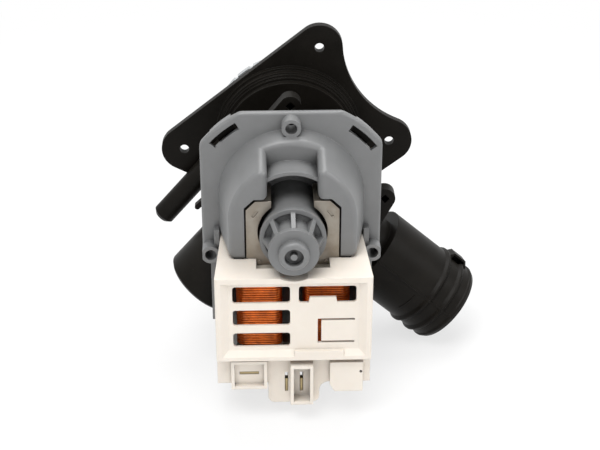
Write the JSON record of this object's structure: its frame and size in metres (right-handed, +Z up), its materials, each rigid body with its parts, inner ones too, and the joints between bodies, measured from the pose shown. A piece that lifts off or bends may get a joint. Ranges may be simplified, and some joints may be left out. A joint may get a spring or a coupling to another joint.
{
  "type": "washer drain pump",
  "caption": "Washer drain pump with screw out lint filter, magnet rotor with lost motion impeller, vented coil cover, hose ports and a three eared mounting plate",
  "frame": {"origin": "middle of the cylindrical land of the nose, on the motor axis", "axes": "X to the right seen from the motor end, Y along the motor axis from the nose to the filter cap, Z up, away from the terminals"},
  "size_m": [0.1152, 0.0937, 0.1155],
  "materials": {
    "black_plastic": "glass filled black moulding, fine sheen",
    "grey_plastic": "bluish grey moulding, soft sheen",
    "white_plastic": "warm white moulding",
    "cap_plastic": "light grey moulding",
    "impeller_plastic": "off white moulding",
    "bobbin_plastic": "dark spool moulding",
    "bush_plastic": "dark bearing plastic",
    "core_steel": "laminated steel, tan tarnish",
    "shaft_steel": "ground steel",
    "magnet_ferrite": "sintered magnet",
    "copper_wire": "enamelled copper wire",
    "terminal_brass": "dull brass blade",
    "seal_rubber": "black rubber"
  },
  "bodies": {
    "root": {"pump_housing": "black_plastic", "motor_housing": "grey_plastic", "flange_seal": "seal_rubber", "bearing_carrier": "grey_plastic", "carrier_seal": "seal_rubber", "front_bush": "bush_plastic", "rear_bush": "bush_plastic", "rear_bush_grommet": "seal_rubber", "stator_core": "core_steel", "coil_cover": "white_plastic", "terminal_block": "white_plastic", "line_terminals": "terminal_brass", "earth_terminal": "terminal_brass", "left_bobbin": "bobbin_plastic", "right_bobbin": "bobbin_plastic", "left_winding": "copper_wire", "right_winding": "copper_wire", "left_winding_turns": "copper_wire", "right_winding_turns": "copper_wire"},
    "rotor": {"rotor_shaft": "shaft_steel", "rotor_core": "bush_plastic", "rotor_magnet": "magnet_ferrite", "thrust_washers": "shaft_steel", "drive_dog": "bush_plastic"},
    "impeller": {"impeller": "impeller_plastic", "impeller_hub_cap": "impeller_plastic", "drive_damper": "seal_rubber"},
    "filter_insert": {"filter_strainer": "cap_plastic"},
    "filter_cap": {"filter_cap": "cap_plastic", "cap_seal": "seal_rubber"}
  },
  "joints": [
    {"name": "rotor_spin", "type": "hinge", "parent": "root", "child": "rotor", "pos_m": [0, 0.0213, 0], "axis": [0, 1, 0], "continuous": true},
    {"name": "impeller_play", "type": "hinge", "parent": "rotor", "child": "impeller", "pos_m": [0, 0.0441, 0], "axis": [0, 1, 0], "range_deg": [-132, 132]},
    {"name": "filter_out", "type": "slide", "parent": "root", "child": "filter_insert", "axis": [0, 1, 0], "range_m": [0, 0.012]},
    {"name": "cap_turn", "type": "hinge", "parent": "filter_insert", "child": "filter_cap", "pos_m": [0, 0.0776, 0.01], "axis": [0, 1, 0], "range_deg": [0, 540]}
  ],
  "couplings": [
    {"joint": "filter_out", "follows": "cap_turn", "m_per_rad": 0.0012732}
  ]
}
